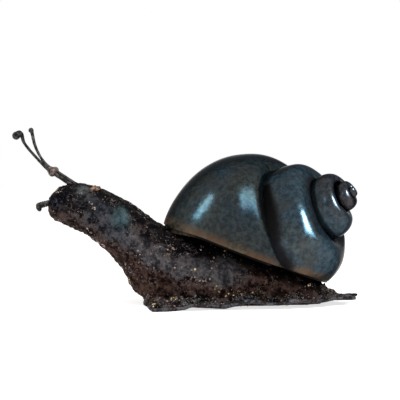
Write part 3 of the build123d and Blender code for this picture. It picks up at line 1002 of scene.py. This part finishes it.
def body_finish():
    """The body: navy-black head, blue-grey flank partly painted as lit, painted shade under the shell,
    red-brown towards foot and tail.
    """
    material, shader, place, broad, fine, grain = steel_finish("body_patina_and_painted_light")
    x = place.x
    black_steel = colour(0.002, 0.002, 0.003)
    base = grain.step(0.36, 0.74).mix(black_steel, colour(0.072, 0.061, 0.062))

    # Rust below the band and towards the tail, painted shade above it and under the rim, then the band
    # itself, partly a painted lit band
    over_band = place.z - larger((BAND_BEND - x) * BAND_SLOPE, 0.0) - BAND_HEIGHT
    wander = over_band + (broad - 0.5) * 0.024 + (grain - 0.5) * 0.007
    rust = grain.step(0.34, 0.76).mix(colour(0.009, 0.004, 0.003), colour(0.080, 0.046, 0.037))
    low = 1 - wander.step(-0.014, -0.001)
    base = (larger(low, x.step(-0.024, 0.008)) * 0.88).mix(base, rust)
    # Painted shade: near-black where the shell shades the body, above the band and just under the rim
    under_rim = over_line(place, RIM_LINE) + (grain - 0.5) * 0.007
    painted_shade_under_shell = larger(wander.step(0.006, 0.012) * x.step(-0.084, -0.066), under_rim.step(-0.014, -0.006))
    base = (painted_shade_under_shell * 0.9).mix(base, colour(0.0015, 0.0015, 0.002))
    # The flank band's pale blue-grey is partly painted light, the lit middle of the flank, over its own
    # blue-grey tone
    flank = near_line(wander, 0.0110) * (1 - x.step(-0.022, 0.002)) * x.step(-0.100, -0.084)
    mottle = (grain * 0.5 + fine * 0.5).step(0.32, 0.70)
    blue = mottle.mix(colour(0.024, 0.025, 0.031), colour(0.118, 0.114, 0.122))
    base = (flank * 0.85).mix(base, blue)

    # Slate neck with a teal and a grey patch
    over_nape = over_line(place, NAPE_LINE) + (broad - 0.5) * 0.018 + (grain - 0.5) * 0.008
    slate_band = near_line(over_nape, 0.016) * x.step(-0.134, -0.112) * (1 - x.step(-0.096, -0.080))
    slate = grain.step(0.28, 0.76).mix(colour(0.010, 0.013, 0.018), colour(0.070, 0.078, 0.094))
    base = (slate_band * 0.8).mix(base, slate)
    cloudy = (broad - 0.5) * 2.0 + (grain - 0.5) * 1.2
    teal = near_spot(place, TEAL_SPOT, 0.0105, 1.5)
    base = (teal * (cloudy * 2.0 + 0.72)).mix(base, colour(0.052, 0.094, 0.108))
    grey = near_spot(place, GREY_SPOT, 0.0085, 0.8)
    base = (grey * (cloudy * 2.4 + 0.70)).mix(base, colour(0.110, 0.126, 0.132))

    # Navy head with pale scribbles and black patches
    navy = near_spot(place, NAVY_SPOT, 0.0160)
    scribble = near_line(place.noise(240, 2, 0.5) - 0.5, 0.030)
    ink = scribble.mix(colour(0.001, 0.0015, 0.004), colour(0.055, 0.066, 0.086))
    base = (navy * 1.3).mix(base, ink)
    black = (1 - broad.step(0.44, 0.58)) * (1 - x.step(-0.122, -0.104))
    base = (black * 0.85).mix(base, black_steel)

    # Bright chips and scratches, fewer on flank and neck and none on the head's navy
    chips = place.noise(760, 3, 0.5).step(0.655, 0.71)
    scratch = near_line(place.noise(260, 2, 0.5) - 0.5, 0.022) * place.noise(110, 1).step(0.50, 0.58)
    specks = (chips * 0.8 + scratch * 0.35) * (1 - larger(flank, slate_band) * 0.6) * (1 - navy)
    tint = broad.step(0.40, 0.60).mix(colour(0.330, 0.300, 0.296), colour(0.340, 0.258, 0.205))
    finish_steel(shader, fine, base, specks, tint, 0.66)
    return material


def weld_finish(name, dark, pale, chip_share):
    """Weld metal and sheet: dark grain with bright chips."""
    material, shader, place, broad, fine, grain = steel_finish(name)
    base = grain.step(0.34, 0.74).mix(dark, pale)
    base = (place.noise(70, 2).step(0.50, 0.66) * 0.6).mix(base, colour(0.036, 0.020, 0.016))
    chips = place.noise(800, 1, 0.4).step(0.635, 0.69) * chip_share
    tint = broad.step(0.42, 0.58).mix(colour(0.400, 0.370, 0.380), colour(0.420, 0.320, 0.240))
    finish_steel(shader, fine, base, chips, tint, 0.62)
    return material


def floor_finish():
    """Plate under the shell, painted black for the shade under the rim, its top edge painted black as a
    shaded slit, but for a brown strip along its lower edge at the front.
    """
    material, shader, place = new_finish("floor_patina_and_painted_shade")
    fine = place.noise(300, 4)
    brown = fine.step(0.35, 0.65).mix(colour(0.016, 0.012, 0.010), colour(0.060, 0.045, 0.032))
    # Painted shade: the slit just under the rim, and the plate behind the front corner, are painted black
    slit = (over_rim(place) + (fine - 0.5) * 0.0008).step(-0.0013, -0.0008)
    black = larger(slit, place.x.step(-0.054, -0.036))
    feed(
        shader, Base_Color=black.mix(brown, colour(0.002, 0.002, 0.002)), Roughness=0.35 + fine * 0.2,
        Metallic=0.6, Specular_IOR_Level=0.1,
    )
    return material


def bronze_finish():
    """Polished dark bronze: mottled patina, painted shade and black along the sutures, and a rubbed golden
    rim.
    """
    material, shader, place = new_finish("shell_patina_and_painted_shade")
    x = place.x
    height = over_rim(place)
    broad = place.noise(32, 3)
    other = place.noise(47, 2, 0.5)
    fine = place.noise(300, 5, 0.75)
    mottle = fine.step(0.34, 0.68)

    # Olive and blue patina with brown patches, plum at the tip and olive again low at the front
    olive = mottle.mix(colour(0.022, 0.024, 0.022), colour(0.057, 0.059, 0.053))
    blue = mottle.mix(colour(0.017, 0.025, 0.031), colour(0.041, 0.057, 0.067))
    base = (broad.step(0.38, 0.64) + x.step(0.008, 0.034) * 0.5).mix(olive, blue)
    base = (other.step(0.50, 0.68) * 0.45).mix(base, colour(0.045, 0.038, 0.032))
    from_apex = place.node("VectorMath", {"operation": "DISTANCE"}, {0: place, 1: APEX}, "Value")
    plum = mottle.mix(colour(0.014, 0.010, 0.011), colour(0.050, 0.036, 0.037))
    base = ((1 - from_apex.step(0.016, 0.040)) * 0.65).mix(base, plum)
    low = (1 - height.step(0.006, 0.034)) * (1 - x.step(0.004, 0.024))
    base = (low * 0.6).mix(base, olive)

    # Golden rim, rubbed to copper in places
    rim = 1 - (height + (fine - 0.5) * 0.007 + (broad - 0.5) * 0.006).step(0.0004, 0.0075)
    golden = fine.step(0.34, 0.66).mix(colour(0.042, 0.031, 0.021), colour(0.128, 0.092, 0.060))
    golden = (other.step(0.46, 0.60) * 0.7).mix(golden, colour(0.120, 0.060, 0.032))
    base = (rim * 0.85).mix(base, golden)

    # Painted shade along the sutures, painted black in the seam itself
    suture_shade = place.node("Attribute", {"attribute_name": "suture_shade"}, output="Fac")
    shade = 1 - (suture_shade + (fine - 0.5) * 0.25).step(0.2, 1.0)
    base = (shade * 0.92).mix(base, colour(0.007, 0.005, 0.005))
    seam = 1 - (suture_shade + (fine - 0.5) * 0.10).step(0.06, 0.40)
    base = (seam * 0.96).mix(base, colour(0.004, 0.003, 0.003))
    feed(
        shader, Base_Color=base, Roughness=0.13 + fine * 0.12 + shade * 0.3 + rim * 0.15,
        Normal=bump(broad + fine * 0.15, 0.10, 0.002), Metallic=0.85, Specular_IOR_Level=0.10,
        Specular_Tint=colour(0.25, 0.25, 0.25),
    )
    return material


def rod_finish():
    """Dull dark rod with paler grain."""
    material, shader, place = new_finish("rod_patina")
    fine = place.noise(350, 4)
    base = fine.step(0.36, 0.66).mix(colour(0.008, 0.009, 0.009), colour(0.082, 0.080, 0.078))
    feed(
        shader, Base_Color=base, Roughness=0.35 + fine * 0.3, Normal=bump(fine, 0.4, 0.0005), Metallic=0.6,
        Specular_IOR_Level=0.15, Specular_Tint=colour(0.4, 0.4, 0.4),
    )
    return material


def fleck_finish(name, first, second, metallic, grain=180):
    """Spatter and small welds: two colours in patches."""
    material, shader, place = new_finish(name)
    tint = place.noise(grain, 2).step(0.40, 0.60).mix(first, second)
    feed(shader, Base_Color=tint, Roughness=0.30 + place.noise(600, 2) * 0.3, Metallic=metallic)
    return material


def fixing_finish():
    """Plain zinc-grey studs, washers and nuts."""
    material, shader, place = new_finish("fixing_zinc")
    fine = place.noise(300, 4)
    zinc = fine.step(0.35, 0.65).mix(colour(0.36, 0.36, 0.38), colour(0.52, 0.52, 0.53))
    feed(shader, Base_Color=zinc, Roughness=0.30 + fine * 0.2, Metallic=0.9)
    return material


DARK_STEEL = body_finish()
WELD_STEEL = weld_finish("weld_patina", colour(0.003, 0.003, 0.003), colour(0.082, 0.076, 0.080), 0.8)
SHEET_STEEL = weld_finish("sheet_patina", colour(0.012, 0.013, 0.015), colour(0.118, 0.122, 0.140), 0.3)
SHELL_BRONZE = bronze_finish()
ROD_STEEL = rod_finish()
GOLD_FLECK = fleck_finish("gold_drops", colour(0.80, 0.64, 0.36), colour(0.42, 0.31, 0.16), 0.7)
PALE_FLECK = fleck_finish("steel_drops", colour(0.40, 0.32, 0.28), colour(0.10, 0.08, 0.08), 0.5)
TAN_WELD = fleck_finish("tan_weld", colour(0.260, 0.150, 0.075), colour(0.030, 0.022, 0.018), 0.3, 420)
BROWN_WELD = fleck_finish("brown_weld", colour(0.170, 0.125, 0.105), colour(0.022, 0.018, 0.016), 0.3, 420)
FLOOR_BRONZE = floor_finish()
FIXING_STEEL = fixing_finish()


def give(piece, material):
    piece.data.materials.clear()
    piece.data.materials.append(material)


def dress(piece, material, slot, *replaced):
    """Gives a piece its finish and puts it on the snail in place of CAD nodes."""
    give(piece, material)
    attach(piece, "root")
    if replaced:
        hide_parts(*replaced)


dress(head, DARK_STEEL, "body_steel", "head_cap")
dress(neck, DARK_STEEL, "body_steel", "neck_tube")
dress(trunk, DARK_STEEL, "body_steel", "trunk_skin")
dress(sole, SHEET_STEEL, "body_steel", "sole_plate")
dress(weld, WELD_STEEL, "weld_metal", "sole_weld")
dress(lump, BROWN_WELD, "weld_metal", "stalk_weld")
dress(nape, TAN_WELD, "weld_metal")
dress(floor_plate, FLOOR_BRONZE, "floor_bronze", "shell_floor")
dress(gold_flecks, GOLD_FLECK, "weld_metal")
dress(pale_flecks, PALE_FLECK, "weld_metal")
for node, piece in rod_pieces.items():
    dress(piece, ROD_STEEL, "rod_steel", node)
for node, piece in shell_pieces.items():
    dress(piece, SHELL_BRONZE, "shell_bronze", node)

# Hidden pieces keep their CAD meshes
give(nodes["saddle_plate"], DARK_STEEL)
for node in ("shell_studs", "stud_washers", "stud_nuts"):
    give(nodes[node], FIXING_STEEL)


def seen_rays(paint):
    """1 for rays from the camera, off a gloss or through glass, 0 for the light that falls on things."""
    seen = paint.node("LightPath", output="Is Camera Ray") + paint.node("LightPath", output="Is Glossy Ray")
    return (seen + paint.node("LightPath", output="Is Transmission Ray")).step(0, 1)


# Stage: pale floor, white surroundings, soft lamps
bpy.ops.object.select_all(action="DESELECT")
bpy.ops.mesh.primitive_plane_add(size=8, location=(0, 0, 0))
floor = bpy.context.object
floor.name = "floor"
pale_floor, floor_shader, floor_place = new_finish("pale_floor")
feed(
    floor_shader, Base_Color=colour(0.82, 0.82, 0.82), Roughness=0.9, Specular_IOR_Level=0.0,
    Emission_Color=seen_rays(floor_place).mix(colour(0, 0, 0), colour(1, 1, 1)), Emission_Strength=0.70,
)
floor.data.materials.append(pale_floor)

world = bpy.data.worlds.new("studio")
bpy.context.scene.world = world
world.use_nodes = True
feed(
    world.node_tree.nodes["Background"], Color=colour(1, 1, 1),
    Strength=seen_rays(Paint(world.node_tree)) * 0.6 + 0.4,
)


def lamp(name, place, aim, wide, high, spin, power, tint, lit):
    """A soft rectangular lamp that lights only the given pieces."""
    light = bpy.data.lights.new(name, "AREA")
    light.shape = "RECTANGLE"
    light.size = wide
    light.size_y = high
    light.energy = power
    light.color = tint
    lamp_object = bpy.data.objects.new(name, light)
    lamp_object.location = place
    turn = (Vector(aim) - Vector(place)).to_track_quat("-Z", "Y") @ Quaternion(UP, radians(spin))
    lamp_object.rotation_euler = turn.to_euler()
    lamp_object.visible_camera = False
    bpy.context.collection.objects.link(lamp_object)
    receivers = bpy.data.collections.new(name + "_on")
    for piece in lit:
        receivers.objects.link(piece)
    lamp_object.light_linking.receiver_collection = receivers


meshes = [piece for piece in bpy.context.scene.objects if piece.type == "MESH"]
lit_pieces = {
    "dome": [shell_pieces["body_whorl"]],
    "spire": [piece for node, piece in shell_pieces.items() if node != "body_whorl"],
    "rest": [piece for piece in meshes if piece not in shell_pieces.values()],
}
for name, (*settings, lit) in LAMPS.items():
    lamp(name, *settings, lit_pieces[lit])

camera_data = bpy.data.cameras.new("camera")
camera_data.lens = CAMERA_LENS
camera = bpy.data.objects.new("camera", camera_data)
camera.location = CAMERA_PLACE
camera.rotation_euler = (Vector(CAMERA_AIM) - Vector(CAMERA_PLACE)).to_track_quat("-Z", "Y").to_euler()
bpy.context.collection.objects.link(camera)
bpy.context.scene.camera = camera
bpy.context.scene.view_settings.view_transform = "Standard"
